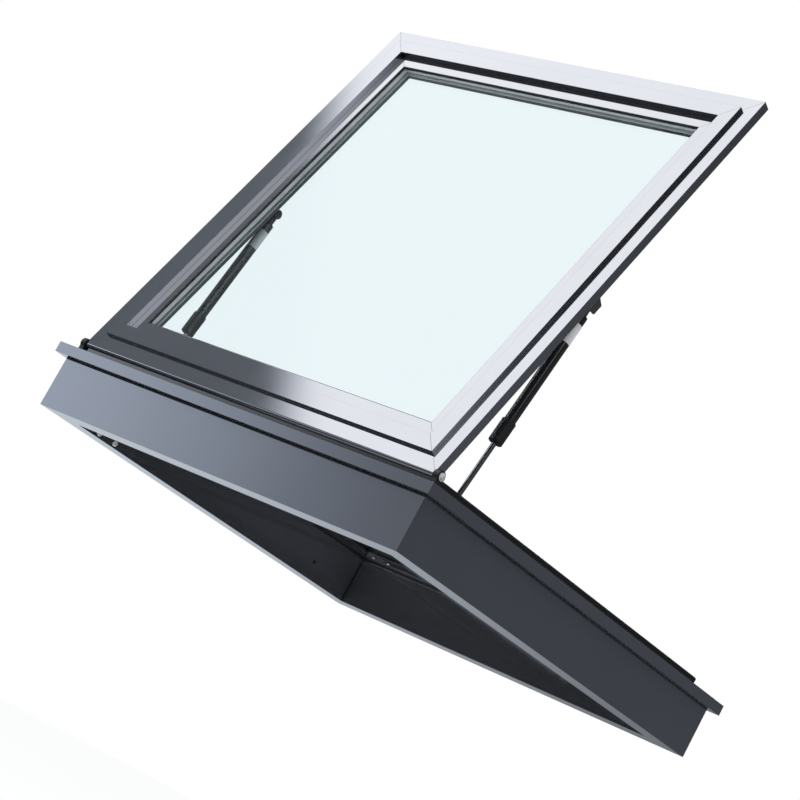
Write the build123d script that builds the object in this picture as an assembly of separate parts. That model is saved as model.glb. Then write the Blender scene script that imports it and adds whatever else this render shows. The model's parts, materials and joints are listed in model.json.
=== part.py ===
"""Roof skylight: an insulated-glass sash hinged on an aluminium kerb and held open by two gas struts.

Units are millimetres. +Z is up, +X runs along the hinge, +Y runs from the hinge wall to the far wall.
The origin is the middle of the kerb's bottom face. The sash is drawn closed and then swung open.
"""

import math
import os

from build123d import *

# Kerb: four mitred hollow walls with an outward lip on top
kerb_width = 800.0
kerb_length = 810.0
wall_thickness = 48.0
lip_underside = 84.0
lip_height = 17.0
lip_projection = 15.0
kerb_skin = 2.2
rebate_depth = 13.0
upstand_inset = 28.0
upstand_thickness = 3.0
upstand_height = 9.0
fixing_hole_radius = 3.0
fixing_hole_height = 30.0
fixing_hole_spacing = 500.0

# Hinge: a round bead on the kerb inside a socket on the sash's bottom rail
hinge_inset = 13.0
hinge_rise = 16.0
bead_radius = 3.5
bead_clearance = 0.1
socket_wall = 1.9
socket_gap_angles = (174.0, 295.0)
stem_thickness = 2.4
hinge_foot_front = 2.0
hinge_foot_back = 25.5
hinge_foot_thickness = 3.0
hinge_screw_count = 7
hinge_screw_inset = 20.0
hinge_screw_end_margin = 40.0
hinge_web = 1.0
cap_radius = 8.5
cap_length = 10.5
cap_leg_width = 13.0
cap_gap = 0.5
cap_bevel = 1.0
cap_grip = 6.3
bead_port_radius = 1.7

# Sash: mitred hollow rails, stepped up twice towards the glass
open_angle = 71.4
sash_side_inset = 14.0
sash_back_inset = 16.0
edge_band = 25.0
raised_band = 25.0
glass_border = 73.5
raised_step = 6.0
edge_plate = 3.0
edge_flange = 2.5
edge_flange_depth = 14.5
sash_depth = 30.0
sash_skin = 2.2
ledge_skin = 1.9
glass_ledge_thickness = 6.0

# Insulated glass unit and what holds it
pane_thickness = 4.0
pane_gap = 8.0
tape_thickness = 1.0
tape_setback = 0.5
edge_cover = 19.5
bead_top = -3.0
bead_bevel = 1.0
bead_leaf = 2.3
bead_leg = 2.0
bead_leg_depth = 14.0
gasket_width = 9.0
gasket_lip = 1.5
spacer_width = 9.0
spacer_setback = 4.0
spacer_skin = 0.6
block_length = 60.0
block_clearance = 0.3

# Rubber seals on the kerb
seal_gap = 0.3
kerb_gasket_width = 6.6
kerb_gasket_bulb = 3.6
kerb_gasket_base = 5.0
inner_seal_bulb = 4.2
inner_seal_width = 10.0
inner_seal_height = 10.2
inner_seal_offset = 0.5
seal_wall = 1.2

# Gas struts, one inside each side wall
strut_inset = 60.0
lower_pivot_setback = 110.0
lower_pivot_height = 42.0
upper_pivot_along = 378.0
upper_pivot_below = 52.5
rod_radius = 4.0
tube_radius = 9.0
tube_wall = 1.5
collar_radius = 11.0
collar_length = 38.0
collar_start = 175.0
collar_end_wall = 4.0
collar_bevel = 1.0
collar_rod_clearance = 0.3
guide_setback = 5.0
guide_length = 12.0
guide_clearance = 0.06
piston_length = 8.0
piston_setback = 22.0
piston_clearance = 0.15
plug_length = 10.0
rod_start = 20.0
ball_radius = 5.0
ball_clearance = 0.08
socket_radius = 8.0
socket_half = 6.5
socket_bevel = 1.5
socket_front = 2.8
socket_mouth = 4.2
socket_neck_radius = 5.5
upper_socket_neck = 22.0
stud_neck_radius = 3.0
stud_flange_radius = 6.5
stud_flange_length = 3.0
neck_clearance = 0.6
slide_gap = 0.3

# Strut brackets
bracket_thickness = 3.0
bracket_bolt_setbacks = (90.0, 127.0)
bracket_bolt_height = 7.0
bracket_edge = 6.5
bracket_shoulder = 10.0
bracket_corner_radius = 3.0
bolt_head_radius = 4.8
bolt_head_height = 3.2
bolt_radius = 3.0
upper_bracket_gap = 1.5
upper_bracket_half = 17.0
upper_bracket_tip = 9.0
upper_bracket_leaf = 31.0
upper_screw_pitch = 20.0
upper_screw_inset = 72.0

# Corner cleats and small screws
cleat_leg = 110.0
cleat_thickness = 12.0
cleat_gap = 0.3
sash_cleat_leg = 90.0
sash_cleat_thickness = 10.0
cleat_screw_setbacks = (56.0, 94.0)
cleat_screw_bite = 8.0
screw_head_radius = 3.6
screw_head_height = 2.2
screw_radius = 2.0
screw_clearance = 0.05
cap_screw_head_radius = 4.2
cap_screw_head_height = 2.4
cap_washer_radius = 6.0
cap_washer_thickness = 1.0

# Places worked out from the sizes above
half_width = kerb_width / 2
half_length = kerb_length / 2
lip_top = lip_underside + lip_height
rebate_face = wall_thickness - rebate_depth
socket_radius_inner = bead_radius + bead_clearance
socket_radius_outer = socket_radius_inner + socket_wall
hinge_y = hinge_inset - half_length
hinge_z = lip_top + hinge_rise
sash_plane = hinge_z + socket_radius_outer
ledge_height = sash_plane - sash_depth - seal_gap - inner_seal_height
sash_front = hinge_y + 0.5
sash_back = half_length - sash_back_inset
sash_length = sash_back - sash_front
sash_half_width = half_width - sash_side_inset
sash_middle = (sash_front + sash_back) / 2
glass_inset = glass_border - edge_cover
recess_inset = edge_band + raised_band
ledge_top = glass_ledge_thickness - sash_depth
inner_pane_base = ledge_top + tape_thickness
spacer_base = inner_pane_base + pane_thickness
outer_pane_base = spacer_base + pane_gap
glass_face = outer_pane_base + pane_thickness
strut_x = half_width - strut_inset
hinge_line = Axis((0, hinge_y, hinge_z), (1, 0, 0))


def side_plane(side, width_half, length_half, centre_y, height):
    """Plane of one side's section: local x runs inwards from the outer edge, local y is up."""
    if side == "front":
        return Plane((0, centre_y - length_half, height), x_dir=(0, 1, 0), z_dir=(1, 0, 0))
    if side == "back":
        return Plane((0, centre_y + length_half, height), x_dir=(0, -1, 0), z_dir=(-1, 0, 0))
    if side == "left":
        return Plane((-width_half, centre_y, height), x_dir=(1, 0, 0), z_dir=(0, -1, 0))
    return Plane((width_half, centre_y, height), x_dir=(-1, 0, 0), z_dir=(0, 1, 0))


def mitre_wedge(side, width_half, length_half, centre_y, reach, depth, square_front=False):
    """Block that leaves one side of a mitred frame: its ends run at 45 degrees."""
    run = width_half if side in ("front", "back") else length_half
    tip = 0.0 if square_front else reach
    outline = [
        (-run - tip, -reach), (run + tip, -reach), (run, 0.0),
        (run - depth, depth), (depth - run, depth), (-run, 0.0),
    ]
    turn = {"front": 0, "right": 90, "back": 180, "left": 270}[side]
    edge = {
        "front": (0, centre_y - length_half), "back": (0, centre_y + length_half),
        "left": (-width_half, centre_y), "right": (width_half, centre_y),
    }[side]
    place = Location((edge[0], edge[1], -500.0), (0, 0, turn))
    return extrude(place * make_face(Polyline(*outline, close=True)), amount=2000.0)


def frame_side(section, side, width_half, length_half, centre_y, height, reach=20.0, square_front=False):
    """One mitred side of a rectangular frame, extruded from its section."""
    run = width_half if side in ("front", "back") else length_half
    plane = side_plane(side, width_half, length_half, centre_y, height)
    bar = extrude(plane * section, amount=run + reach, both=True)
    depth = min(width_half, length_half) - 1.0
    return bar & mitre_wedge(side, width_half, length_half, centre_y, reach, depth, square_front)


def frame_ring(section, width_half, length_half, centre_y, height):
    """A closed rectangular loop with one section all round."""
    sides = [
        frame_side(section, side, width_half, length_half, centre_y, height)
        for side in ("front", "right", "back", "left")
    ]
    return sides[0] + sides[1] + sides[2] + sides[3]


def outline(*points):
    return make_face(Polyline(*points, close=True))


def block(low, high):
    """Rectangular face between two corners."""
    return outline(low, (high[0], low[1]), high, (low[0], high[1]))


def kerb_section():
    """Hollow wall with the lip outside, the sash rebate inside and an upstand for the gasket."""
    upstand_back = upstand_inset + upstand_thickness
    shell = outline(
        (0, 0), (wall_thickness, 0), (wall_thickness, ledge_height), (rebate_face, ledge_height),
        (rebate_face, lip_top), (upstand_back, lip_top), (upstand_back, lip_top + upstand_height),
        (upstand_inset, lip_top + upstand_height), (upstand_inset, lip_top), (-lip_projection, lip_top),
        (-lip_projection, lip_underside), (0, lip_underside),
    )
    web_inner = rebate_face - kerb_skin
    lower = block((kerb_skin, kerb_skin), (web_inner, lip_underside - kerb_skin))
    inner = block((rebate_face, kerb_skin), (wall_thickness - kerb_skin, ledge_height - kerb_skin))
    upper = block((kerb_skin, lip_underside), (web_inner, lip_top - kerb_skin))
    lip = block((kerb_skin - lip_projection, lip_underside + kerb_skin), (0, lip_top - kerb_skin))
    return shell - lower - inner - upper - lip


def cleat_screw_places():
    """Screws through the rebate face near both ends of the front and back walls: x, wall sign."""
    return [
        (x_sign * (half_width - setback), y_sign)
        for y_sign in (-1, 1) for x_sign in (-1, 1) for setback in cleat_screw_setbacks
    ]


def cleat_height():
    return (lip_underside + lip_top - kerb_skin) / 2


def kerb_wall(side):
    wall = frame_side(kerb_section(), side, half_width, half_length, 0.0, 0.0)
    if side in ("left", "right"):
        sign = -1 if side == "left" else 1
        for y in (-fixing_hole_spacing / 2, fixing_hole_spacing / 2):
            place = Location((sign * (half_width - wall_thickness), y, fixing_hole_height), (0, 90, 0))
            wall -= place * Cylinder(fixing_hole_radius, 4 * kerb_skin)
    else:
        sign = -1 if side == "front" else 1
        for x, y_sign in cleat_screw_places():
            if y_sign == sign:
                y = y_sign * (half_length - rebate_face)
                place = Location((x, y, cleat_height()), (90, 0, 0))
                wall -= place * Cylinder(screw_radius + screw_clearance, 4 * kerb_skin)
    return wall


def corner_cleats(width_half, length_half, centre_y, inset, thickness, low, high, leg):
    """Four L-shaped cleats lying in the frame's chamber, one per corner."""
    cleats = []
    for x_sign in (-1, 1):
        for y_sign in (-1, 1):
            x, y = x_sign * (width_half - inset), centre_y + y_sign * (length_half - inset)
            leg_x = outline(
                (x, y), (x - x_sign * leg, y), (x - x_sign * leg, y - y_sign * thickness),
                (x - x_sign * thickness, y - y_sign * thickness),
                (x - x_sign * thickness, y - y_sign * leg), (x, y - y_sign * leg),
            )
            cleats.append(extrude(Pos(0, 0, low) * leg_x, amount=high - low))
    return cleats


def kerb_cleats():
    inset = rebate_face - kerb_skin - cleat_thickness
    low, high = lip_underside + cleat_gap, lip_top - kerb_skin - cleat_gap
    cleats = corner_cleats(
        half_width, half_length, 0.0, inset, cleat_thickness, low, high, cleat_leg
    )
    for x, y_sign in cleat_screw_places():
        y = y_sign * (half_length - rebate_face)
        bore = Location((x, y, cleat_height()), (90, 0, 0)) * Cylinder(
            screw_radius + screw_clearance, 2 * (kerb_skin + cleat_thickness)
        )
        cleats = [cleat - bore for cleat in cleats]
    return cleats


def pan_screw(head_radius, head_height, shank_radius, shank_length):
    """Pan-head screw along Z: the head's underside is at z = 0 and the shank runs down."""
    crown = head_height * 0.35
    half = make_face(
        Polyline(
            (0, -shank_length), (shank_radius, -shank_length), (shank_radius, 0), (head_radius, 0),
            (head_radius, crown),
        )
        + ThreePointArc(
            (head_radius, crown), (head_radius * 0.62, head_height * 0.9), (0, head_height)
        )
        + Line((0, head_height), (0, -shank_length))
    )
    screw = revolve(Plane.XZ * half, Axis.Z)
    slot = Pos(0, 0, head_height) * Box(head_radius * 1.1, head_radius * 0.22, head_height * 0.6)
    return screw - slot


def cleat_screws():
    screws = []
    for x, y_sign in cleat_screw_places():
        y = y_sign * (half_length - rebate_face)
        screw = pan_screw(screw_head_radius, screw_head_height, screw_radius, kerb_skin + cleat_screw_bite)
        screws.append(Location((x, y, cleat_height()), (90 * y_sign, 0, 0)) * screw)
    return screws


def bulb_section(base_low, base_high, base_bottom, base_top, bulb_radius, crest, wall):
    """Rubber seal section: a base with a hollow bulb on it."""
    middle = (base_low + base_high) / 2
    base = block((base_low, base_bottom), (base_high, base_top))
    bulb = Pos(middle, crest - bulb_radius) * Circle(bulb_radius)
    hollow = Pos(middle, crest - bulb_radius) * Circle(bulb_radius - wall)
    return base + bulb - hollow


def kerb_gasket():
    crest = sash_plane - edge_plate - seal_gap
    middle = upstand_inset + upstand_thickness / 2
    bottom = lip_top + kerb_gasket_base
    section = bulb_section(
        middle - kerb_gasket_width / 2, middle + kerb_gasket_width / 2, bottom,
        crest - 1.6 * kerb_gasket_bulb, kerb_gasket_bulb, crest, seal_wall,
    )
    groove = block(
        (upstand_inset, bottom), (upstand_inset + upstand_thickness, lip_top + upstand_height)
    )
    return frame_ring(section - groove, half_width, half_length, 0.0, 0.0)


def inner_seal():
    crest = sash_plane - sash_depth - seal_gap
    middle = (rebate_face + wall_thickness) / 2 + inner_seal_offset
    section = bulb_section(
        middle - inner_seal_width / 2, middle + inner_seal_width / 2, ledge_height,
        crest - 1.8 * inner_seal_bulb, inner_seal_bulb, crest, seal_wall,
    )
    return frame_ring(section, half_width, half_length, 0.0, 0.0)


def hinge_section():
    """Foot, stem and round bead of the kerb's hinge rail, in the plane of y and z."""
    foot = block(
        (hinge_foot_front - half_length, lip_top),
        (hinge_foot_back - half_length, lip_top + hinge_foot_thickness),
    )
    stem = block((hinge_y - stem_thickness / 2, lip_top), (hinge_y + stem_thickness / 2, hinge_z))
    bead = Pos(hinge_y, hinge_z) * Circle(bead_radius)
    port = Pos(hinge_y, hinge_z) * Circle(bead_port_radius)
    return (foot + stem) - port, bead - port


def across(face, x_low, x_high):
    """Extrude a face drawn in y and z from one x to another."""
    plane = Plane((x_low, 0, 0), x_dir=(0, 1, 0), z_dir=(1, 0, 0))
    return extrude(plane * face, amount=x_high - x_low)


def hinge_screw_xs():
    reach = sash_half_width - hinge_screw_end_margin
    return [-reach + 2 * reach * i / (hinge_screw_count - 1) for i in range(hinge_screw_count)]


def hinge_rail():
    foot_stem, bead = hinge_section()
    foot_half = sash_half_width - edge_flange - hinge_web
    bead_half = sash_half_width + cap_gap + cap_grip
    rail = across(foot_stem, -foot_half, foot_half) + across(bead, -bead_half, bead_half)
    for x in hinge_screw_xs():
        rail -= Pos(x, hinge_screw_inset - half_length, lip_top) * Cylinder(
            screw_radius + screw_clearance, 4 * hinge_foot_thickness
        )
    return rail


def hinge_screws():
    shank = hinge_foot_thickness
    screw = pan_screw(screw_head_radius, screw_head_height, screw_radius, shank)
    z = lip_top + hinge_foot_thickness
    return [Pos(x, hinge_screw_inset - half_length, z) * screw for x in hinge_screw_xs()]


def hinge_end_cap(sign):
    """Plastic cap that closes the bead's end and stops the sash sliding sideways."""
    disc = Pos(hinge_y, hinge_z) * Circle(cap_radius)
    leg = block(
        (hinge_y - cap_leg_width / 2, lip_top), (hinge_y + cap_leg_width / 2, hinge_z)
    )
    bore = Pos(hinge_y, hinge_z) * Circle(bead_radius + screw_clearance)
    port = Pos(hinge_y, hinge_z) * Circle(bead_port_radius)
    inner = sash_half_width + cap_gap
    outer = inner + cap_length
    bead_end = inner + cap_grip
    cap = across(disc + leg, inner, outer) - across(bore, inner - 1, bead_end)
    cap -= across(port, inner, outer + 1)
    cap = chamfer(cap.faces().sort_by(Axis.X)[-1].outer_wire().edges(), cap_bevel)
    return cap if sign > 0 else mirror(cap, Plane.YZ)


def hinge_cap_screws():
    """A washer and a pan-head screw at each end of the hinge bead."""
    face = sash_half_width + cap_gap + cap_length
    parts = []
    for sign in (-1, 1):
        washer = Cylinder(cap_washer_radius, cap_washer_thickness) - Cylinder(
            bead_port_radius + screw_clearance, 2 * cap_washer_thickness
        )
        washer_x = sign * (face + cap_washer_thickness / 2)
        parts.append(Location((washer_x, hinge_y, hinge_z), (0, 90, 0)) * washer)
        screw = pan_screw(
            cap_screw_head_radius, cap_screw_head_height, bead_port_radius - screw_clearance,
            cap_length + cap_washer_thickness,
        )
        screw_x = sign * (face + cap_washer_thickness)
        parts.append(Location((screw_x, hinge_y, hinge_z), (0, 90 * sign, 0)) * screw)
    return parts


def rail_section():
    """Sash rail: outer flange, edge band, raised hollow body and the ledge under the glass."""
    shell = outline(
        (0, 0), (0, -edge_flange_depth), (edge_flange, -edge_flange_depth),
        (edge_flange, -edge_plate), (edge_band, -edge_plate), (edge_band, -sash_depth),
        (glass_border, -sash_depth), (glass_border, ledge_top), (recess_inset, ledge_top),
        (recess_inset, raised_step), (edge_band, raised_step), (edge_band, 0),
    )
    return shell - rail_chambers()


def rail_chambers():
    body = block(
        (edge_band + sash_skin, sash_skin - sash_depth),
        (recess_inset - sash_skin, raised_step - sash_skin),
    )
    ledge = block(
        (recess_inset, ledge_skin - sash_depth),
        (glass_border - ledge_skin, ledge_top - ledge_skin),
    )
    return body + ledge


def hinged_rail_section():
    """Bottom rail: the same body, with the hinge socket in place of the flange."""
    body = outline(
        (0, 0), (0, -edge_plate), (edge_band, -edge_plate), (edge_band, -sash_depth),
        (glass_border, -sash_depth), (glass_border, ledge_top), (recess_inset, ledge_top),
        (recess_inset, raised_step), (edge_band, raised_step), (edge_band, 0),
    )
    centre = (hinge_y - sash_front, -socket_radius_outer)
    socket = Pos(*centre) * Circle(socket_radius_outer)
    low, high = (math.radians(a) for a in socket_gap_angles)
    reach = 3 * socket_radius_outer
    steps = 4
    angles = [low + (high - low) * i / steps for i in range(steps + 1)]
    rim = [(centre[0] + reach * math.cos(a), centre[1] + reach * math.sin(a)) for a in angles]
    web = block((centre[0], -edge_plate), (0, 0))
    return body + socket + web - Pos(*centre) * Circle(socket_radius_inner) - outline(
        centre, *rim
    ) - rail_chambers()


def swing(shape):
    """Carry a piece drawn in the closed sash to the open sash."""
    if isinstance(shape, list):
        return [swing(piece) for piece in shape]
    return shape.rotate(hinge_line, open_angle)


def sash_side(side):
    if side == "front":
        section = hinged_rail_section()
    else:
        section = rail_section()
    rail = frame_side(
        section, side, sash_half_width, sash_length / 2, sash_middle, sash_plane,
        square_front=side == "front",
    )
    if side in ("left", "right"):
        sign = -1 if side == "left" else 1
        notch = Location((sign * sash_half_width, hinge_y, hinge_z), (0, 90, 0)) * Cylinder(
            socket_radius_outer, 2 * (edge_flange + hinge_web)
        )
        rail -= notch
    return rail


def sash_ring(low, high, bottom, top):
    """Rectangular loop lying in the sash between two insets from its edge."""
    return frame_ring(
        block((low, bottom), (high, top)), sash_half_width, sash_length / 2, sash_middle, sash_plane
    )


def pane(base):
    width = 2 * (sash_half_width - glass_inset)
    length = sash_length - 2 * glass_inset
    middle = Pos(0, sash_middle, sash_plane + base + pane_thickness / 2)
    return middle * Box(width, length, pane_thickness)


def glazing_bead(side):
    """Snap-in bead: a leaf over the glass edge and a leg down the recess wall."""
    under = bead_top - bead_leaf
    section = outline(
        (recess_inset, bead_top), (glass_border - bead_bevel, bead_top),
        (glass_border, bead_top - bead_bevel),
        (glass_border, under), (recess_inset + bead_leg, under),
        (recess_inset + bead_leg, bead_top - bead_leg_depth),
        (recess_inset, bead_top - bead_leg_depth),
    )
    return frame_side(
        section, side, sash_half_width, sash_length / 2, sash_middle, sash_plane
    )


def glazing_gasket():
    return sash_ring(
        glass_border - gasket_width, glass_border + gasket_lip, glass_face, bead_top - bead_leaf
    )


def glazing_tape():
    return sash_ring(
        glass_border - gasket_width, glass_border - tape_setback, ledge_top, inner_pane_base
    )


def spacer_frame():
    """Hollow spacer bar between the panes."""
    low = glass_border - spacer_setback - spacer_width
    high = glass_border - spacer_setback
    bar = block((low, spacer_base), (high, outer_pane_base)) - block(
        (low + spacer_skin, spacer_base + spacer_skin), (high - spacer_skin, outer_pane_base - spacer_skin)
    )
    return frame_ring(bar, sash_half_width, sash_length / 2, sash_middle, sash_plane)


def edge_sealant():
    low = glass_border - spacer_setback - spacer_width
    return sash_ring(glass_inset, low, spacer_base, outer_pane_base)


def setting_blocks():
    """Small blocks that centre the glass in the sash, two on each side."""
    width = glass_inset - recess_inset
    top = bead_top - bead_leg_depth - block_clearance
    height = top - inner_pane_base
    z = sash_plane + inner_pane_base + height / 2
    x_far = sash_half_width - recess_inset - width / 2
    y_far = sash_length / 2 - recess_inset - width / 2
    blocks = []
    for sign in (-1, 1):
        for along in (-1, 1):
            x_along, y_along = along * sash_half_width / 2, along * sash_length / 4
            blocks.append(
                Pos(x_along, sash_middle + sign * y_far, z) * Box(block_length, width, height)
            )
            blocks.append(
                Pos(sign * x_far, sash_middle + y_along, z) * Box(width, block_length, height)
            )
    return blocks


def sash_cleats():
    inset = edge_band + sash_skin + cleat_gap
    low = sash_plane - sash_depth + sash_skin + cleat_gap
    high = sash_plane + raised_step - sash_skin - cleat_gap
    return corner_cleats(
        sash_half_width, sash_length / 2, sash_middle, inset, sash_cleat_thickness, low, high,
        sash_cleat_leg,
    )


def lower_pivot():
    return lower_pivot_setback - half_length, lower_pivot_height


def upper_pivot():
    """Upper pivot in the open sash, as y and z."""
    y = sash_front + upper_pivot_along - hinge_y
    z = sash_plane - upper_pivot_below - hinge_z
    c, s = math.cos(math.radians(open_angle)), math.sin(math.radians(open_angle))
    return hinge_y + y * c - z * s, hinge_z + y * s + z * c


def strut_length():
    (y0, z0), (y1, z1) = lower_pivot(), upper_pivot()
    return math.hypot(y1 - y0, z1 - z0)


def strut_place(sign):
    """Location of the strut's own frame: Z runs from the lower pivot to the upper one."""
    (y0, z0), (y1, z1) = lower_pivot(), upper_pivot()
    lean = math.degrees(math.atan2(y1 - y0, z1 - z0))
    return Location((sign * strut_x, y0, z0), (-lean, 0, 0))


def turned(*points):
    """Solid of revolution about Z from points given as radius and height."""
    return revolve(Plane.XZ * outline(*points), Axis.Z)


def ball_stud(sign, stand_off):
    """Ball stud along X with its ball at the origin and its flange towards the wall."""
    neck = math.sqrt(ball_radius**2 - stud_neck_radius**2)
    half = make_face(
        ThreePointArc(
            (0, -ball_radius), (ball_radius, 0), (stud_neck_radius, neck)
        )
        + Polyline(
            (stud_neck_radius, neck), (stud_neck_radius, stand_off - stud_flange_length),
            (stud_flange_radius, stand_off - stud_flange_length), (stud_flange_radius, stand_off),
            (0, stand_off), (0, -ball_radius),
        )
    )
    return Rot(0, 90 * sign, 0) * revolve(Plane.XZ * half, Axis.Z)


def ball_socket(sign, neck_from, neck_to):
    """Cup over the ball, open towards the wall, with its neck along the strut."""
    cup = Rot(0, 90 * sign, 0) * turned(
        (0, -socket_half), (socket_radius - socket_bevel, -socket_half),
        (socket_radius, socket_bevel - socket_half), (socket_radius, socket_front), (0, socket_front),
    )
    reach = (neck_from + neck_to) / 2
    neck = Pos(0, 0, reach) * Cylinder(socket_neck_radius, abs(neck_to - neck_from))
    mouth = Rot(0, 90 * sign, 0) * Pos(0, 0, ball_radius) * Cylinder(socket_mouth, 2 * ball_radius)
    return cup + neck - Sphere(ball_radius + ball_clearance) - mouth


def strut_pieces(sign):
    """Every piece of one gas strut, in the strut's own frame."""
    length = strut_length()
    bore = tube_radius - tube_wall
    collar_bore = rod_radius + collar_rod_clearance
    collar_end = collar_start + collar_length
    tube_start = collar_start + collar_end_wall
    tube_end = length - upper_socket_neck
    guide_start = tube_start + guide_setback
    piston_start = guide_start + guide_length + piston_setback
    neck_start = stud_flange_radius + neck_clearance
    lower_stand_off = strut_inset - wall_thickness - bracket_thickness - slide_gap
    tube = turned(
        (bore, tube_start), (tube_radius, tube_start), (tube_radius, tube_end),
        (0, tube_end), (0, tube_end - plug_length), (bore, tube_end - plug_length),
    )
    collar = turned(
        (collar_bore, collar_start), (collar_radius - collar_bevel, collar_start),
        (collar_radius, collar_start + collar_bevel), (collar_radius, collar_end - collar_bevel),
        (collar_radius - collar_bevel, collar_end), (tube_radius, collar_end),
        (tube_radius, tube_start), (collar_bore, tube_start),
    )
    guide = turned(
        (rod_radius + guide_clearance, guide_start), (bore, guide_start),
        (bore, guide_start + guide_length), (rod_radius + guide_clearance, guide_start + guide_length),
    )
    rod = turned((0, rod_start), (rod_radius, rod_start), (rod_radius, piston_start), (0, piston_start))
    piston = turned(
        (0, piston_start), (bore - piston_clearance, piston_start),
        (bore - piston_clearance, piston_start + piston_length), (0, piston_start + piston_length),
    )
    return {
        "tube": tube,
        "collar": collar,
        "guide": guide,
        "rod": rod,
        "piston": piston,
        "rod_socket": ball_socket(sign, neck_start, rod_start),
        "tube_socket": Pos(0, 0, length) * ball_socket(sign, -neck_start, -upper_socket_neck),
        "lower_stud": ball_stud(sign, lower_stand_off),
    }


def lower_bracket(sign):
    """Plate bolted to the wall's inner face under the strut."""
    pivot_y, pivot_z = lower_pivot()
    bolts = [setback - half_length for setback in bracket_bolt_setbacks]
    low = bracket_bolt_height - bracket_edge
    face = outline(
        (bolts[0] - bracket_edge, low), (bolts[1] + bracket_edge, low),
        (bolts[1] + bracket_edge, bracket_bolt_height + bracket_edge),
        (pivot_y + bracket_shoulder, pivot_z + bracket_edge),
        (pivot_y - bracket_shoulder, pivot_z + bracket_edge),
        (bolts[0] - bracket_edge, bracket_bolt_height + bracket_edge),
    )
    face = fillet(face.vertices(), bracket_corner_radius)
    inner = half_width - wall_thickness
    plate = across(face, inner - bracket_thickness, inner)
    for y in bolts:
        plate -= Location((inner, y, bracket_bolt_height), (0, 90, 0)) * Cylinder(
            bolt_radius + screw_clearance, 4 * bracket_thickness
        )
    return plate if sign > 0 else mirror(plate, Plane.YZ)


def lower_bracket_bolts():
    """Bolts through both lower brackets, with their shanks stopping at the wall's face."""
    inner = half_width - wall_thickness
    bolt = pan_screw(bolt_head_radius, bolt_head_height, bolt_radius, bracket_thickness)
    bolts = []
    for sign in (-1, 1):
        for setback in bracket_bolt_setbacks:
            x = sign * (inner - bracket_thickness)
            place = Location((x, setback - half_length, bracket_bolt_height), (0, -90 * sign, 0))
            bolts.append(place * bolt)
    return bolts


def upper_bracket(sign):
    """Angle screwed under the stile: a leaf on the stile and a cheek that carries the ball stud."""
    outer = half_width - wall_thickness - upper_bracket_gap
    z_top = sash_plane - sash_depth
    pivot_y = sash_front + upper_pivot_along
    pivot_z = sash_plane - upper_pivot_below
    leaf = Pos(outer - upper_bracket_leaf / 2, pivot_y, z_top - bracket_thickness / 2) * Box(
        upper_bracket_leaf, 2 * upper_bracket_half, bracket_thickness
    )
    cheek_face = outline(
        (pivot_y - upper_bracket_half, z_top), (pivot_y + upper_bracket_half, z_top),
        (pivot_y + upper_bracket_half, z_top - 2 * bracket_thickness),
        (pivot_y + upper_bracket_tip, pivot_z - upper_bracket_tip),
        (pivot_y - upper_bracket_tip, pivot_z - upper_bracket_tip),
        (pivot_y - upper_bracket_half, z_top - 2 * bracket_thickness),
    )
    angle = leaf + across(cheek_face, outer - bracket_thickness, outer)
    for y in upper_screw_ys():
        angle -= Pos(half_width - upper_screw_inset, y, z_top) * Cylinder(
            screw_radius + screw_clearance, 4 * bracket_thickness
        )
    return angle if sign > 0 else mirror(angle, Plane.YZ)


def upper_screw_ys():
    pivot_y = sash_front + upper_pivot_along
    return [pivot_y - upper_screw_pitch / 2, pivot_y + upper_screw_pitch / 2]


def upper_bracket_screws():
    screw = pan_screw(screw_head_radius, screw_head_height, screw_radius, bracket_thickness)
    z = sash_plane - sash_depth - bracket_thickness
    return [
        Location((sign * (half_width - upper_screw_inset), y, z), (180, 0, 0)) * screw
        for sign in (-1, 1) for y in upper_screw_ys()
    ]


def upper_stud(sign):
    stand_off = strut_inset - wall_thickness - upper_bracket_gap - bracket_thickness
    place = Pos(sign * strut_x, sash_front + upper_pivot_along, sash_plane - upper_pivot_below)
    return place * ball_stud(sign, stand_off)


def write(name, shape):
    solid = Compound(children=shape) if isinstance(shape, list) else shape
    export_step(solid, f"parts/{name}.step")


def build():
    os.makedirs("parts", exist_ok=True)
    for side in ("front", "back", "left", "right"):
        write(f"kerb_{side}_wall", kerb_wall(side))
    write("kerb_corner_cleats", kerb_cleats())
    write("kerb_cleat_screws", cleat_screws())
    write("kerb_gasket", kerb_gasket())
    write("kerb_inner_seal", inner_seal())
    write("hinge_rail", hinge_rail())
    write("hinge_rail_screws", hinge_screws())
    write("hinge_cap_screws", hinge_cap_screws())
    write("lower_bracket_bolts", lower_bracket_bolts())

    for side, name in (
        ("front", "sash_bottom_rail"), ("back", "sash_top_rail"),
        ("left", "sash_left_stile"), ("right", "sash_right_stile"),
    ):
        write(name, swing(sash_side(side)))
    for side, place in (("front", "bottom"), ("back", "top"), ("left", "left"), ("right", "right")):
        write(f"glazing_bead_{place}", swing(glazing_bead(side)))
    write("outer_pane", swing(pane(outer_pane_base)))
    write("inner_pane", swing(pane(inner_pane_base)))
    write("spacer_frame", swing(spacer_frame()))
    write("edge_sealant", swing(edge_sealant()))
    write("glazing_gasket", swing(glazing_gasket()))
    write("glazing_tape", swing(glazing_tape()))
    write("setting_blocks", swing(setting_blocks()))
    write("sash_corner_cleats", swing(sash_cleats()))
    write("upper_bracket_screws", swing(upper_bracket_screws()))

    for side, sign in (("left", -1), ("right", 1)):
        write(f"hinge_end_cap_{side}", hinge_end_cap(sign))
        write(f"{side}_lower_bracket", lower_bracket(sign))
        write(f"{side}_upper_bracket", swing(upper_bracket(sign)))
        write(f"{side}_upper_stud", swing(upper_stud(sign)))
        for name, piece in strut_pieces(sign).items():
            write(f"{side}_strut_{name}", strut_place(sign) * piece)


build()
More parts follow.
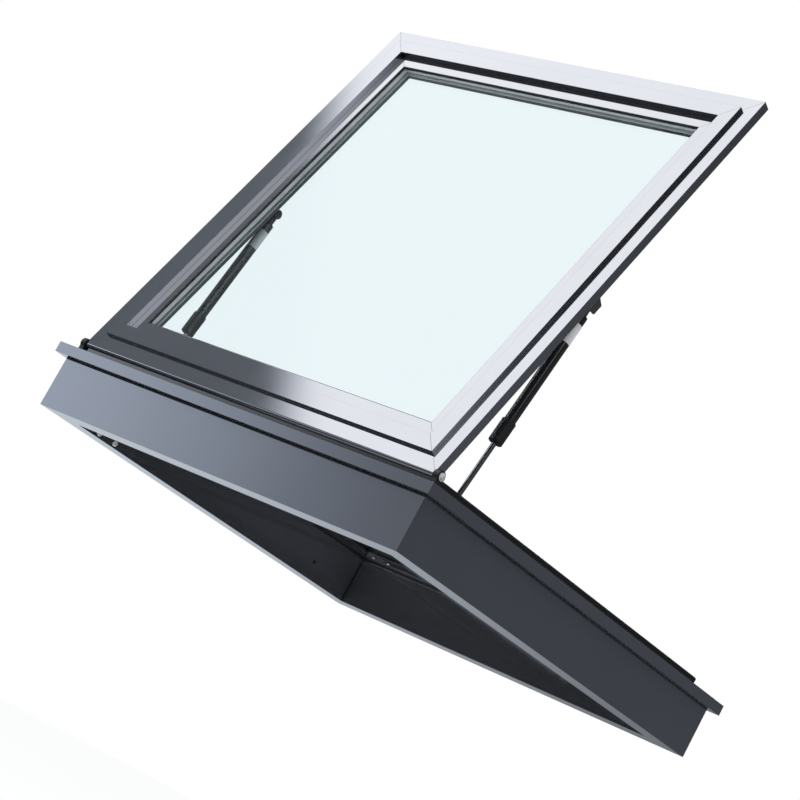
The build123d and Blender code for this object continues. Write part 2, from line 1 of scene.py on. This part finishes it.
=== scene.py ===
import bpy
import bmesh
import json
import math
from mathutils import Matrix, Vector


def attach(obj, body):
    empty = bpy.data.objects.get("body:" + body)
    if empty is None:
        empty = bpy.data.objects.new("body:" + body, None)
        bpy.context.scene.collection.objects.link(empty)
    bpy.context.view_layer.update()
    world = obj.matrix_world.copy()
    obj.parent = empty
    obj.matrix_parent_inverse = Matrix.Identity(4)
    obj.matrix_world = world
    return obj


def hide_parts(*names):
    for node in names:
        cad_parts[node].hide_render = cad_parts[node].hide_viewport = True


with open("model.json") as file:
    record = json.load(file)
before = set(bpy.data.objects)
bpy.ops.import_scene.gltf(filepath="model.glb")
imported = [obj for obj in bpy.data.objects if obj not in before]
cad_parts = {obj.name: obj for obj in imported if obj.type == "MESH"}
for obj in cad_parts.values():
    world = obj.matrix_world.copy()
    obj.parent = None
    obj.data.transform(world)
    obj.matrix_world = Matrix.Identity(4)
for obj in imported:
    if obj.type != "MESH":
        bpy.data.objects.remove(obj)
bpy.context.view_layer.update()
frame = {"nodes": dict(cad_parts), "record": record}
print("frame loaded:", len(frame["nodes"]), "nodes")

mm = 0.001
nodes = frame["nodes"]
record = frame["record"]
joints = {joint["name"]: joint for joint in record["behaviour"]["joints"]}
slotOf = {part["node"]: part["material_slot"] for part in record["subparts"]}
bodyOf = {node: body for body, members in record["behaviour"]["bodies"].items() for node in members}
scene = bpy.context.scene

# camera at the photograph's angle, a little below the skylight

cameraValues = {
    "place": (2.43624, -2.6459, -0.35085),
    "turn": (101.2819, -28.1982, 38.5926),  # degrees about X, Y and Z
    "lens": 104.501,
    "sensor": 36,
    "farthest": 60,
}


def addCamera():
    data = bpy.data.cameras.new("camera")
    data.lens = cameraValues["lens"]
    data.sensor_width = cameraValues["sensor"]
    data.clip_end = cameraValues["farthest"]
    camera = bpy.data.objects.new("camera", data)
    camera.location = cameraValues["place"]
    camera.rotation_euler = [math.radians(angle) for angle in cameraValues["turn"]]
    scene.collection.objects.link(camera)
    scene.camera = camera


addCamera()
print("camera set")

# where the sash lies in the open pose

hinge = joints["sash_hinge"]
openAngle = math.radians(-hinge["range_deg"][0])
alongSash = Vector((0, math.cos(openAngle), math.sin(openAngle)))
outOfSash = Vector((0, -math.sin(openAngle), math.cos(openAngle)))

# shader maths as expressions: a Wire is one output socket of the node tree being built

mixInputs = (0, 6, 7)  # a Mix node's factor and its two colours
mixOutput = 2  # its mixed colour
noiseSpan = (0.3, 0.7)  # most of a noise lies between these


class Wire:
    def __init__(self, paint, socket):
        self.paint = paint
        self.socket = socket

    def maths(self, operation, *others):
        return self.paint.add("ShaderNodeMath", {"operation": operation}, self, *others)

    def __add__(self, other):
        return self.maths("ADD", other)

    __radd__ = __add__

    def __sub__(self, other):
        return self.maths("SUBTRACT", other)

    def __rsub__(self, other):
        return self.paint.add("ShaderNodeMath", {"operation": "SUBTRACT"}, other, self)

    def __mul__(self, other):
        return self.maths("MULTIPLY", other)

    __rmul__ = __mul__

    def size(self):
        return self.maths("ABSOLUTE")

    def below(self, limit):
        return self.maths("LESS_THAN", limit)

    def most(self, other):
        return self.maths("MAXIMUM", other)

    def ramp(self, low, high, start=0.0, end=1.0):
        settings = {"interpolation_type": "SMOOTHSTEP", "clamp": True}
        return self.paint.add("ShaderNodeMapRange", settings, self, low, high, start, end)

    def around(self, value, shares):
        # a value that follows this noise, from one share of itself to another
        return self.ramp(*noiseSpan, *(value * share for share in shares))

    def dot(self, direction):
        settings = {"operation": "DOT_PRODUCT"}
        return self.paint.add("ShaderNodeVectorMath", settings, self, tuple(direction), output="Value")


class Paint:
    def __init__(self, holder):
        holder.use_nodes = True
        self.holder = holder
        self.tree = holder.node_tree
        self.tree.nodes.clear()

    def feed(self, target, value):
        if isinstance(value, Wire):
            self.tree.links.new(value.socket, target)
        elif target.type == "RGBA" and len(value) == 3:
            target.default_value = (*value, 1.0)
        else:
            target.default_value = value

    def add(self, kind, settings=None, *values, output=0, **named):
        node = self.tree.nodes.new(kind)
        for key, setting in (settings or {}).items():
            setattr(node, key, setting)
        for socket, value in zip(node.inputs, values):
            self.feed(socket, value)
        for key, value in named.items():
            self.feed(node.inputs[key.replace("_", " ")], value)
        return Wire(self, node.outputs[output]) if node.outputs else node

    def place(self, scale=(1, 1, 1)):
        spot = self.add("ShaderNodeTexCoord", output="Object")
        if scale == (1, 1, 1):
            return spot
        return self.add("ShaderNodeMapping", Vector=spot, Scale=scale)

    def noise(self, scale, detail, spot=None):
        return self.add("ShaderNodeTexNoise", Vector=spot or self.place(), Scale=scale, Detail=detail)

    def blend(self, amount, first, second):
        node = self.tree.nodes.new("ShaderNodeMix")
        node.data_type = "RGBA"
        for index, value in zip(mixInputs, (amount, first, second)):
            self.feed(node.inputs[index], value)
        return Wire(self, node.outputs[mixOutput])

    def bump(self, height, strength, distance, **named):
        return self.add("ShaderNodeBump", Height=height, Strength=strength, Distance=distance, **named)

    def finish(self, **sockets):
        shader = self.add("ShaderNodeBsdfPrincipled", **sockets)
        self.add("ShaderNodeOutputMaterial", Surface=shader)
        return self.holder


def newPaint(name):
    return Paint(bpy.data.materials.new(name))


def shades(colour, darker, lighter):
    return tuple(darker * part for part in colour), tuple(min(1.0, lighter * part) for part in colour)


# powder coat on extrusions and fittings: glossy, with fine orange peel, hairlines at the mitres and painted
# shade darkening its corners and recesses

coatValues = {
    "kerbColour": (0.162, 0.172, 0.198),
    "sashColour": (0.345, 0.352, 0.385),
    "bracketColour": (0.035, 0.036, 0.040),
    # near-black: partly the hinge's own dark finish, partly painted shade for the shadow in the hinge gap
    "hingeColour": (0.012, 0.012, 0.014),
    # painted shade: the near-black that corners, recesses and the lip's underside are darkened toward
    "paintedShadeColour": (0.004, 0.004, 0.006),
    "seamColour": (0.01, 0.01, 0.012),
    "kerbMetal": 0.86,
    "sashMetal": 0.97,
    "fittingMetal": 0.2,
    "roughness": 0.06,
    "lacquer": 0.8,
    "lacquerRoughness": 0.04,
    "cloud": 5.0,  # soft patches per metre
    "cloudDetail": 4.0,
    "cloudShades": (0.9, 1.08),  # in shares of the colour
    "cloudRoughness": (0.8, 1.2),  # in shares of the roughness
    "peel": 700.0,  # bumps per metre
    "peelDetail": 2.0,
    "peelStrength": 0.1,
    "peelHeight": 0.002 * mm,
    "seamWidth": 0.3 * mm,  # on either side of the mitre, along X
    "edgeRadius": 0.5 * mm,
    "edgeSamples": 4,
    "paintedShadeReach": 8 * mm,
    "paintedShadeSamples": 16,
    "paintedShadeShares": (0.08, 1.0),  # painted shade: share of the coat's colour in the darkest corner and in the open
    "kerbPaintedShade": (0.45, 0.78),  # painted shade: open share of the sky where it is darkest and where it stops
    "sashPaintedShade": (0.3, 0.6),
}


def reach(members, direction):
    spans = [direction.dot(point.co) for node in members for point in nodes[node].data.vertices]
    return min(spans), max(spans)


def mitre(members, direction):
    # half width across X, then the middle and half length along the frame's other side
    low, high = reach(members, direction)
    halfWidth = reach(members, Vector((1, 0, 0)))[1]
    return halfWidth, (low + high) / 2, (high - low) / 2, direction


def seams(paint, halfWidth, middle, halfLength, direction):
    # dark hairlines where mitred bars meet, 45 degrees out of each corner
    spot = paint.place()
    across = halfWidth - spot.dot((1, 0, 0)).size()
    along = halfLength - (spot.dot(direction) - middle).size()
    return (across - along).size().below(coatValues["seamWidth"])


# how much open sky a point sees, which sets the painted shade
def openSky(paint):
    return paint.add(
        "ShaderNodeAmbientOcclusion", {"samples": coatValues["paintedShadeSamples"]},
        Distance=coatValues["paintedShadeReach"], output="AO",
    )


def coatedMetal(name, colour, shine, corner=coatValues["sashPaintedShade"], seam=None):
    paint = newPaint(name)
    cloud = paint.noise(coatValues["cloud"], coatValues["cloudDetail"])
    peel = paint.noise(coatValues["peel"], coatValues["peelDetail"])
    tone = paint.blend(cloud, *shades(colour, *coatValues["cloudShades"]))
    # painted shade: the colour darkens in corners and recesses, the less open sky they see
    light = openSky(paint).ramp(*corner, *coatValues["paintedShadeShares"])
    tone = paint.blend(light, coatValues["paintedShadeColour"], tone)
    if seam:
        tone = paint.blend(seams(paint, *seam), tone, coatValues["seamColour"])
    rough = cloud.around(coatValues["roughness"], coatValues["cloudRoughness"])
    edge = paint.add(
        "ShaderNodeBevel", {"samples": coatValues["edgeSamples"]}, Radius=coatValues["edgeRadius"],
    )
    normal = paint.bump(peel, coatValues["peelStrength"], coatValues["peelHeight"], Normal=edge)
    return paint.finish(
        Base_Color=tone, Metallic=shine, Roughness=rough, Normal=normal,
        Coat_Weight=coatValues["lacquer"], Coat_Roughness=coatValues["lacquerRoughness"],
    )


# the glass

glassValues = {
    "tint": (0.90, 0.953, 0.965),
    "bend": 1.12,  # index of refraction, low because thin panes hardly shift what lies behind
}


def glassMaterial():
    paint = newPaint("insulatedGlass")
    return paint.finish(
        Base_Color=glassValues["tint"], Roughness=0.0, IOR=glassValues["bend"], Transmission_Weight=1.0,
    )


# rubber, moulded plastic, sealant, tape and paper: grainy, with faint patches

softValues = {
    "patch": 30.0,  # patches per metre
    "patchDetail": 2.0,
    "patchShades": (0.75, 1.25),
    "patchRoughness": (0.85, 1.15),
    "grainDetail": 3.0,
    "grainStrength": 0.25,
}
rubber = {"colour": (0.013, 0.013, 0.014), "roughness": 0.6, "grain": 1400.0, "height": 0.03 * mm}
plastic = {"colour": (0.012, 0.012, 0.013), "roughness": 0.38, "grain": 2200.0, "height": 0.01 * mm}
spacer = {"colour": (0.76, 0.78, 0.79), "roughness": 0.45, "grain": 900.0, "height": 0.01 * mm}
sealant = {"colour": (0.70, 0.72, 0.73), "roughness": 0.6, "grain": 900.0, "height": 0.01 * mm}
tape = {"colour": (0.76, 0.77, 0.77), "roughness": 0.7, "grain": 900.0, "height": 0.02 * mm}


def softMaterial(name, colour, roughness, grain, height):
    # grain counts the grains per metre, and height is how far they stand out
    paint = newPaint(name)
    grains = paint.noise(grain, softValues["grainDetail"])
    patch = paint.noise(softValues["patch"], softValues["patchDetail"])
    tone = paint.blend(patch, *shades(colour, *softValues["patchShades"]))
    rough = patch.around(roughness, softValues["patchRoughness"])
    normal = paint.bump(grains, softValues["grainStrength"], height)
    return paint.finish(Base_Color=tone, Roughness=rough, Normal=normal)


# black paint on the strut tubes

tubeValues = {
    "darkest": (0.006, 0.006, 0.007),
    "lightest": (0.013, 0.013, 0.015),
    "patch": 30.0,  # patches per metre
    "speck": 500.0,  # specks per metre
    "detail": 2.0,
    "roughness": 0.25,
    "patchRoughness": (0.8, 1.2),
    "speckStrength": 0.15,
    "speckHeight": 0.01 * mm,
    "lacquer": 0.6,
    "lacquerRoughness": 0.08,
}


def tubeMaterial():
    paint = newPaint("strutPaint")
    speck = paint.noise(tubeValues["speck"], tubeValues["detail"])
    patch = paint.noise(tubeValues["patch"], tubeValues["detail"])
    tone = paint.blend(patch, tubeValues["darkest"], tubeValues["lightest"])
    rough = patch.around(tubeValues["roughness"], tubeValues["patchRoughness"])
    return paint.finish(
        Base_Color=tone, Roughness=rough,
        Coat_Weight=tubeValues["lacquer"], Coat_Roughness=tubeValues["lacquerRoughness"],
        Normal=paint.bump(speck, tubeValues["speckStrength"], tubeValues["speckHeight"]),
    )


# bare metals with fine lines

lineValues = {
    "lines": 80.0,  # per metre, times the streak along each axis
    "detail": 3.0,
    "shades": (0.8, 1.0),
    "roughness": (0.7, 1.3),
    "strength": 0.2,
    "height": 0.01 * mm,
}
zinc = {"colour": (0.80, 0.80, 0.81), "roughness": 0.3, "streak": (1, 1, 8), "metal": 0.45}
chrome = {"colour": (0.42, 0.42, 0.44), "roughness": 0.1, "streak": (1, 1, 20), "metal": 1.0}
aluminium = {"colour": (0.75, 0.76, 0.78), "roughness": 0.3, "streak": (1, 12, 1), "metal": 1.0}


def brushedMetal(name, colour, roughness, streak, metal):
    paint = newPaint(name)
    lines = paint.noise(lineValues["lines"], lineValues["detail"], paint.place(scale=streak))
    tone = paint.blend(lines, *shades(colour, *lineValues["shades"]))
    rough = lines.around(roughness, lineValues["roughness"])
    normal = paint.bump(lines, lineValues["strength"], lineValues["height"])
    return paint.finish(Base_Color=tone, Metallic=metal, Roughness=rough, Normal=normal)


kerbSeam = mitre(("kerb_front_wall", "kerb_back_wall"), Vector((0, 1, 0)))
sashSeam = mitre(("sash_left_stile", "sash_right_stile"), alongSash)
materials = {
    "kerb_paint": coatedMetal(
        "kerbCoat", coatValues["kerbColour"], coatValues["kerbMetal"], coatValues["kerbPaintedShade"], kerbSeam,
    ),
    "sash_paint": coatedMetal(
        "sashCoat", coatValues["sashColour"], coatValues["sashMetal"], coatValues["sashPaintedShade"], sashSeam,
    ),
    "hinge_black": coatedMetal("hingeCoat", coatValues["hingeColour"], coatValues["fittingMetal"]),
    "dark_steel": coatedMetal("bracketCoat", coatValues["bracketColour"], coatValues["fittingMetal"]),
    "clear_glass": glassMaterial(),
    "black_rubber": softMaterial("blackRubber", **rubber),
    "black_plastic": softMaterial("mouldedPlastic", **plastic),
    "black_paint": tubeMaterial(),
    "bright_steel": brushedMetal("zincSteel", **zinc),
    "rod_chrome": brushedMetal("polishedRod", **chrome),
    "mill_aluminium": brushedMetal("millAluminium", **aluminium),
}
ownMaterials = {
    "spacer_frame": softMaterial("paleSpacer", **spacer),
    "edge_sealant": softMaterial("paleSealant", **sealant),
    "glazing_tape": softMaterial("paleTape", **tape),
}
for node, holder in nodes.items():
    holder.data.materials.clear()
    holder.data.materials.append(ownMaterials.get(node) or materials[slotOf[node]])
print("materials on all nodes")


def addPiece(name, mesh, node):
    piece = bpy.data.objects.new(name, mesh)
    scene.collection.objects.link(piece)
    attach(piece, bodyOf[node])
    return piece


# screws: a pan head with a cross recess, set by Geometry Nodes on the CAD screws' places

screwValues = {
    "segments": 64,
    "rings": 20,
    "dome": 4,  # power of the head's curve: nearly flat on top and round toward its side
    "rim": 0.38,  # straight part of the head's side, in head heights
    "crossArm": 0.15,  # half the width of the recess's arms, in head radii
    "crossReach": 0.62,  # length of an arm from the middle, in head radii
    "crossDepth": 0.75,  # in head heights
    "crossSlope": 0.5,  # share of the depth that is lost at an arm's end
    "shank": 0.48,  # in head radii
    "gather": 12 * mm,  # solids nearer than this are one screw and its washer
    "weld": 0.001 * mm,  # corners nearer than this are one
    "washerThickness": 1 * mm,
    "scale": 1.0,
    "seed": 7,
}
screwGroups = {
    "kerb_cleat_screws": {"head": 3.6 * mm, "height": 2.2 * mm, "length": 10 * mm},
    "hinge_rail_screws": {"head": 3.6 * mm, "height": 2.2 * mm, "length": 3 * mm},
    "hinge_cap_screws": {"head": 4.2 * mm, "height": 2.4 * mm, "length": 10.5 * mm, "washer": 6 * mm},
    "lower_bracket_bolts": {"head": 4.8 * mm, "height": 3.2 * mm, "length": 3 * mm},
    "upper_bracket_screws": {"head": 3.6 * mm, "height": 2.2 * mm, "length": 3 * mm},
}
sortDigits = 6  # screws are put in order by their place, to the micrometre
sharpAngle = 35  # degrees between two faces past which their edge stays sharp


def facing(node, centre):
    # the way a screw's head faces
    side = math.copysign(1, centre.x)
    return {
        "kerb_cleat_screws": Vector((0, -math.copysign(1, centre.y), 0)),
        "hinge_rail_screws": Vector((0, 0, 1)),
        "hinge_cap_screws": Vector((side, 0, 0)),
        "lower_bracket_bolts": Vector((-side, 0, 0)),
        "upper_bracket_screws": -outOfSash,
    }[node]


def islands(mesh):
    # the corners of each connected solid
    work = bmesh.new()
    work.from_mesh(mesh)
    bmesh.ops.remove_doubles(work, verts=work.verts, dist=screwValues["weld"])
    left = set(work.verts)
    found = []
    while left:
        stack = [left.pop()]
        island = []
        while stack:
            vertex = stack.pop()
            island.append(vertex.co.copy())
            near = {edge.other_vert(vertex) for edge in vertex.link_edges} & left
            left -= near
            stack.extend(near)
        found.append(island)
    work.free()
    return found


def middleOf(points):
    low = Vector([min(point[axis] for point in points) for axis in range(3)])
    high = Vector([max(point[axis] for point in points) for axis in range(3)])
    return (low + high) / 2


def screwPlaces(node):
    # top of each screw's head, with the way it faces
    groups = []
    for island in islands(nodes[node].data):
        for group in groups:
            if (middleOf(group) - middleOf(island)).length < screwValues["gather"]:
                group += island
                break
        else:
            groups.append(island)
    places = []
    for group in groups:
        middle = middleOf(group)
        way = facing(node, middle)
        top = max(way.dot(point) for point in group)
        places.append((middle + way * (top - way.dot(middle)), way))
    return sorted(places, key=lambda item: tuple(round(part, sortDigits) for part in item[0]))


def spin(profile, segments):
    # closed surface of revolution about Z from radius and height pairs, top middle to bottom middle
    mesh = bmesh.new()
    angles = [2 * math.pi * i / segments for i in range(segments)]
    circle = [(math.cos(angle), math.sin(angle)) for angle in angles]
    rows = []
    for radius, height in profile:
        if radius == 0:
            rows.append([mesh.verts.new((0, 0, height))] * segments)
        else:
            rows.append([mesh.verts.new((radius * x, radius * y, height)) for x, y in circle])
    for upper, lower in zip(rows, rows[1:]):
        for i in range(segments):
            j = (i + 1) % segments
            mesh.faces.new(tuple(dict.fromkeys((upper[i], lower[i], lower[j], upper[j]))))
    bmesh.ops.recalc_face_normals(mesh, faces=mesh.faces)
    return mesh


def sharpen(mesh, name):
    data = bpy.data.meshes.new(name)
    mesh.to_mesh(data)
    mesh.free()
    data.shade_smooth()
    data.set_sharp_from_angle(angle=math.radians(sharpAngle))
    return data


def screwMesh(name, head, height, length, washer=0.0):
    # the top of the head lies at the origin and the shank runs down; head and washer are radii
    rings = screwValues["rings"]
    rim = screwValues["rim"] * height - height
    shank = screwValues["shank"] * head
    profile = [(head * i / rings, rim * (i / rings) ** screwValues["dome"]) for i in range(rings + 1)]
    profile.append((head, -height))
    seat = -height
    if washer:
        seat -= screwValues["washerThickness"]
        profile += [(washer, -height), (washer, seat)]
    profile += [(shank, seat), (shank, seat - length), (0, seat - length)]
    mesh = spin(profile, screwValues["segments"])
    arm, far = screwValues["crossArm"] * head, screwValues["crossReach"] * head
    for vertex in mesh.verts:
        narrow, wide = sorted((abs(vertex.co.x), abs(vertex.co.y)))
        if vertex.co.z > rim and narrow < arm and wide < far:
            slope = 1 - screwValues["crossSlope"] * wide / far
            vertex.co.z -= screwValues["crossDepth"] * height * slope
    return sharpen(mesh, name)


def screwTree():
    tree = bpy.data.node_groups.new("screwsOnPlaces", "GeometryNodeTree")
    sockets = tree.interface
    sockets.new_socket("Geometry", in_out="INPUT", socket_type="NodeSocketGeometry")
    for label, kind in (("Screw", "Object"), ("Scale", "Float"), ("Seed", "Int"), ("Finish", "Material")):
        sockets.new_socket(label, in_out="INPUT", socket_type="NodeSocket" + kind)
    sockets.new_socket("Geometry", in_out="OUTPUT", socket_type="NodeSocketGeometry")

    def add(kind, links=(), **settings):
        node = tree.nodes.new(kind)
        for key, setting in settings.items():
            setattr(node, key, setting)
        for target, source in links:
            tree.links.new(source, node.inputs[target])
        return node

    start = add("NodeGroupInput")
    points = add("GeometryNodeMeshToPoints", [("Mesh", start.outputs["Geometry"])])
    way = add("GeometryNodeInputNamedAttribute", data_type="FLOAT_VECTOR")
    way.inputs["Name"].default_value = "facing"
    lean = add("FunctionNodeAlignRotationToVector", [("Vector", way.outputs["Attribute"])], axis="Z")
    turn = add("FunctionNodeRandomValue", [("Seed", start.outputs["Seed"])], data_type="FLOAT")
    turn.inputs[3].default_value = 2 * math.pi  # the greatest angle; output 1 is the float drawn
    about = add("FunctionNodeAxisAngleToRotation", [("Angle", turn.outputs[1])])
    about.inputs["Axis"].default_value = (0, 0, 1)
    both = add(
        "FunctionNodeRotateRotation",
        [("Rotation", lean.outputs["Rotation"]), ("Rotate By", about.outputs["Rotation"])],
        rotation_space="LOCAL",
    )
    screw = add("GeometryNodeObjectInfo", [("Object", start.outputs["Screw"])])
    placed = add("GeometryNodeInstanceOnPoints", [
        ("Points", points.outputs["Points"]), ("Instance", screw.outputs["Geometry"]),
        ("Rotation", both.outputs["Rotation"]), ("Scale", start.outputs["Scale"]),
    ])
    real = add("GeometryNodeRealizeInstances", [("Geometry", placed.outputs["Instances"])])
    finish = add("GeometryNodeSetMaterial", [
        ("Geometry", real.outputs["Geometry"]), ("Material", start.outputs["Finish"]),
    ])
    add("NodeGroupOutput", [("Geometry", finish.outputs["Geometry"])])
    return tree


def setScrews(node, tree, values):
    places = screwPlaces(node)
    points = bpy.data.meshes.new(node + "Points")
    points.from_pydata([spot for spot, way in places], [], [])
    ways = points.attributes.new("facing", "FLOAT_VECTOR", "POINT")
    for item, (spot, way) in zip(ways.data, places):
        item.vector = way
    name = node.replace("_", " ").title().replace(" ", "")
    pattern = bpy.data.objects.new(name + "Pattern", screwMesh(name + "Pattern", **values))
    holder = bpy.data.objects.new(name + "Holder", points)
    for helper in (pattern, holder):
        scene.collection.objects.link(helper)
    modifier = holder.modifiers.new("screws", "NODES")
    modifier.node_group = tree
    inputs = {
        "Screw": pattern, "Scale": screwValues["scale"], "Seed": screwValues["seed"],
        "Finish": materials[slotOf[node]],
    }
    for socket in tree.interface.items_tree:
        if socket.in_out == "INPUT" and socket.name in inputs:
            modifier[socket.identifier] = inputs[socket.name]
    solved = holder.evaluated_get(bpy.context.evaluated_depsgraph_get())
    mesh = bpy.data.meshes.new_from_object(solved)
    for helper in (pattern, holder):
        bpy.data.objects.remove(helper)
    piece = addPiece("detailed" + name, mesh, node)
    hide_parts(node)
    return len(places)


tree = screwTree()
screwCount = sum(setScrews(node, tree, values) for node, values in screwGroups.items())
print("screws set:", screwCount)

# blank paper labels wrapped round the strut tubes, near their upper ends

labelValues = {
    "from": 37 * mm,  # distances from the upper pivot
    "to": 71 * mm,
    "radius": 9 * mm,
    "gap": 0.02 * mm,
    "thickness": 0.12 * mm,
    "wrap": 330,  # degrees round the tube
    "middle": -90,  # degrees from +X toward the front, so the label's gap faces forward
    "steps": 60,
}
paper = {"colour": (0.52, 0.52, 0.54), "roughness": 0.5, "grain": 900.0, "height": 0.01 * mm}


def addLabel(side, finish):
    pivot = Vector(joints[side + "_strut_swivel"]["pos_m"])
    axis = Vector(joints[side + "_strut_slide"]["axis"]).normalized()
    if axis.z > 0:
        axis = -axis
    across = Vector((1, 0, 0))
    square = axis.cross(across)
    inner = labelValues["radius"] + labelValues["gap"]
    outer = inner + labelValues["thickness"]
    near, far = (pivot + axis * labelValues[end] for end in ("from", "to"))
    corners = ((near, inner), (near, outer), (far, outer), (far, inner))
    mesh = bmesh.new()
    rows = []
    for i in range(labelValues["steps"] + 1):
        turned = labelValues["wrap"] * (i / labelValues["steps"] - 0.5) + labelValues["middle"]
        angle = math.radians(turned)
        ray = across * math.cos(angle) + square * math.sin(angle)
        rows.append([mesh.verts.new(end + ray * radius) for end, radius in corners])
    for row, following in zip(rows, rows[1:]):
        for i in range(4):
            j = (i + 1) % 4
            mesh.faces.new((row[i], row[j], following[j], following[i]))
    mesh.faces.new(rows[0])
    mesh.faces.new(rows[-1][::-1])
    bmesh.ops.recalc_face_normals(mesh, faces=mesh.faces)
    data = sharpen(mesh, side + "StrutLabel")
    data.materials.append(finish)
    addPiece(side + "StrutLabel", data, side + "_strut_tube")


blankLabel = softMaterial("blankLabel", **paper)
for side in ("left", "right"):
    addLabel(side, blankLabel)
print("labels wrapped")

# soft studio: a pale floor and a white room

studio = {
    "floorHeight": -0.8,
    "floorSize": 30.0,
    "floorColour": (0.975, 0.98, 0.985),
    "floorShades": (0.985, 1.0),
    "floorPatch": 3.0,  # patches per metre
    "floorDetail": 3.0,
    "floorRoughness": 0.9,
    "fill": 1.0,  # light of the white room
    "lampSize": 2.0,
    "lampTarget": (0, 0, 0.2),
}
lamps = {
    "keyLamp": {"place": (-2.0, -2.6, 1.6), "power": 30},
    "fillLamp": {"place": (2.2, -1.0, 3.0), "power": 15},
}

# what glossy surfaces mirror instead: two bright panels in a darker room
# a span says how far along its axis, from -1 to 1, a ray points where the light starts and stops to
# change, and then the light before and after where these aren't 0 and 1

mirrored = {
    "panel": 1.8,  # brightness of the panel that the sash mirrors
    "panelMiddle": (-0.67, -0.40, 0.63),
    "panelSpan": (0.84, 0.93),
    "panelEdge": (0.677, -0.304, 0.670),  # the panel's lower edge lies square to this
    "panelEdgeSpan": (-0.004, 0.022),
    "sidePanel": 1.7,  # the same for the recess along the glass
    "sidePanelMiddle": (0.765, -0.40, 0.50),
    "sidePanelSpan": (0.984, 0.991),
    "cool": (0.88, 0.96, 1.07),  # tint of the darker room
    "room": 0.15,  # light on the left, above the horizon
    "least": 0.08,  # light from every side
    "leftSpan": (-0.45, 0.3, 1.0, 0.0),
    "aboveSpan": (0.02, 0.3),
    "levelSpan": (0.14, 0.34, 1.0, 0.0),
    "frontSpan": (-0.5, 0.0, 1.0, 0.0),
    "shineHeightSpan": (0.03, 0.09),  # a low band in front, brightest far left
    "shineSideSpan": (-0.80, -0.66, 1.6, 0.35),
    "backSpan": (0.2, 0.5),  # a low band behind, on the left
    "backSideSpan": (-0.78, -0.55, 0.6, 0.13),
    "backEndSpan": (-0.4, -0.1, 1.0, 0.0),
    "right": 0.06,  # a faint low band on the right
    "rightSpan": (0.2, 0.5),
}


def addFloor():
    mesh = bpy.data.meshes.new("floor")
    half, z = studio["floorSize"] / 2, studio["floorHeight"]
    corners = [(-half, -half, z), (half, -half, z), (half, half, z), (-half, half, z)]
    mesh.from_pydata(corners, [], [(0, 1, 2, 3)])
    floor = bpy.data.objects.new("floor", mesh)
    floor.visible_glossy = False
    scene.collection.objects.link(floor)
    paint = newPaint("paleFloor")
    patch = paint.noise(studio["floorPatch"], studio["floorDetail"])
    tone = paint.blend(patch, *shades(studio["floorColour"], *studio["floorShades"]))
    finish = paint.finish(Base_Color=tone, Roughness=studio["floorRoughness"], Specular_IOR_Level=0.0)
    mesh.materials.append(finish)


def mirroredRoom(paint):
    # brightness of what glossy surfaces mirror, by direction, and how much of it is a panel
    way = paint.add("ShaderNodeTexCoord", output="Generated")
    x, y, z = (way.dot(axis) for axis in ((1, 0, 0), (0, 1, 0), (0, 0, 1)))
    edge = way.dot(mirrored["panelEdge"]).ramp(*mirrored["panelEdgeSpan"])
    panel = edge * way.dot(mirrored["panelMiddle"]).ramp(*mirrored["panelSpan"])
    left = x.ramp(*mirrored["leftSpan"])
    above = z.ramp(*mirrored["aboveSpan"])
    level = z.size().ramp(*mirrored["levelSpan"])
    front = y.ramp(*mirrored["frontSpan"])
    shine = level * front * z.ramp(*mirrored["shineHeightSpan"]) * x.ramp(*mirrored["shineSideSpan"])
    back = level * y.ramp(*mirrored["backSpan"]) * x.ramp(*mirrored["backSideSpan"])
    back = back * x.ramp(*mirrored["backEndSpan"])
    side = way.dot(mirrored["sidePanelMiddle"]).ramp(*mirrored["sidePanelSpan"])
    right = mirrored["right"] * level * x.ramp(*mirrored["rightSpan"])
    room = mirrored["room"] * left * above * (1 - level * front)
    panels = panel * mirrored["panel"] + side * mirrored["sidePanel"]
    return panels + room + shine * left + back + right + mirrored["least"], panel.most(side)


def addWorld():
    # camera and see-through rays meet plain white, and glossy rays meet the mirrored room
    world = bpy.data.worlds.new("surroundings")
    scene.world = world
    world.cycles.sampling_method = "NONE"
    paint = Paint(world)
    path = paint.tree.nodes.new("ShaderNodeLightPath")
    seen = Wire(paint, path.outputs["Is Camera Ray"]).most(Wire(paint, path.outputs["Is Transmission Ray"]))
    glossy = Wire(paint, path.outputs["Is Glossy Ray"]) * (1 - seen)
    light, bright = mirroredRoom(paint)
    strength = seen + (1 - seen) * (1 - glossy) * studio["fill"] + glossy * light
    colour = paint.blend(glossy * (1 - bright), (1, 1, 1), mirrored["cool"])
    background = paint.add("ShaderNodeBackground", Color=colour, Strength=strength)
    paint.add("ShaderNodeOutputWorld", Surface=background)


def addLamp(name, place, power):
    data = bpy.data.lights.new(name, "AREA")
    data.shape = "SQUARE"
    data.size = studio["lampSize"]
    data.energy = power
    lamp = bpy.data.objects.new(name, data)
    lamp.location = place
    aim = Vector(studio["lampTarget"]) - Vector(place)
    lamp.rotation_euler = aim.to_track_quat("-Z", "Y").to_euler()
    lamp.visible_camera = lamp.visible_glossy = lamp.visible_transmission = False
    scene.collection.objects.link(lamp)


addFloor()
addWorld()
for name, values in lamps.items():
    addLamp(name, **values)
scene.view_settings.view_transform = "Standard"
print("studio set")
